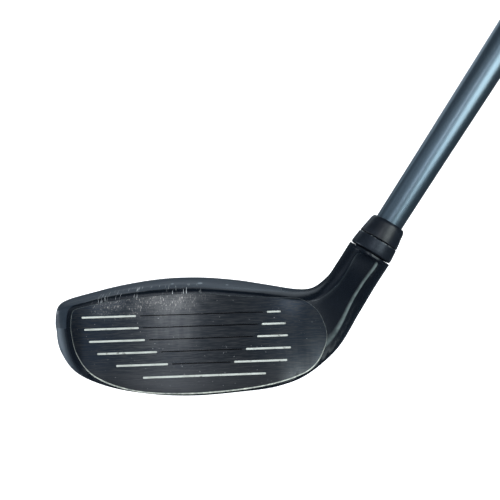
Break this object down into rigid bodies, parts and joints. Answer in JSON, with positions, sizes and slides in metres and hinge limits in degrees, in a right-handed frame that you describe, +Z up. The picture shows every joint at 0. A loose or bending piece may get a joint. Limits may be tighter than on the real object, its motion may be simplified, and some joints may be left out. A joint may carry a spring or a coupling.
{
  "type": "hybrid golf club",
  "caption": "Right-handed hybrid club with a hollow head, grooved face plate, adjustable hosel sleeve, rear sole weight, tapered shaft and rubber grip.",
  "frame": {"origin": "the flat pad of the sole, where the head rests on the ground at address", "axes": "+X from toe to heel, -Y where the face looks, +Z up; the shaft axis lies in the plane Y = -1 mm and leans 57.5 degrees above the ground towards +X"},
  "size_m": [0.6358, 0.0605, 0.8585],
  "materials": {
    "body_finish": "satin blue-grey coating over cast steel, darker on the rim round the face",
    "crown_paint": "satin dark slate paint",
    "face_steel": "dark grey steel brushed along the score lines, with wear",
    "screw_steel": "plain steel",
    "nylon": "off-white nylon",
    "sleeve_anodised": "dark anodised",
    "ferrule_plastic": "satin black",
    "shaft_lacquer": "blue-grey metallic lacquer over carbon fibre",
    "brass_plug": "plain",
    "tape_paper": "creped paper tape",
    "grip_rubber": "moulded pattern",
    "cap_rubber": "matt",
    "weight_metal": "turned, bead blasted",
    "washer_rubber": "matt",
    "score_paint": "white paint fill in the score lines",
    "crown_mark": "slightly lighter paint of the alignment marks",
    "bright_edge": "worn bright edge round the face plate"
  },
  "bodies": {
    "shaft_assembly": {"shaft": "shaft_lacquer", "grip": "grip_rubber", "grip_cap": "cap_rubber", "grip_tape": "tape_paper", "tip_weight": "brass_plug", "ferrule": "ferrule_plastic", "loft_sleeve": "sleeve_anodised"},
    "head": {"head_body": "body_finish", "crown_shell": "crown_paint", "face_plate": "face_steel", "screw_washer": "screw_steel"},
    "retaining_screw": {"retaining_screw": "screw_steel", "screw_retainer": "nylon"},
    "rear_weight": {"rear_weight": "weight_metal", "weight_washer": "washer_rubber"},
    "weight_screw": {"weight_screw": "screw_steel"}
  },
  "joints": [
    {"name": "head_release", "type": "slide", "parent": "shaft_assembly", "child": "head", "axis": [-0.5373, 0, -0.8434], "range_m": [0, 0.008]},
    {"name": "retaining_screw_turn", "type": "hinge", "parent": "head", "child": "retaining_screw", "pos_m": [0.0381, -0.001, 0.00675], "axis": [-0.5373, 0, -0.8434], "range_deg": [0, 3600]},
    {"name": "weight_release", "type": "slide", "parent": "head", "child": "rear_weight", "axis": [0, 0.2588, -0.9659], "range_m": [0, 0.0056]},
    {"name": "weight_screw_turn", "type": "hinge", "parent": "rear_weight", "child": "weight_screw", "pos_m": [0.001, 0.0315, 0.0034], "axis": [0, 0.2588, -0.9659], "range_deg": [0, 2880]}
  ],
  "couplings": [
    {"joint": "retaining_screw_turn", "follows": "head_release", "rad_per_m": 7854},
    {"joint": "weight_screw_turn", "follows": "weight_release", "rad_per_m": 8976}
  ]
}
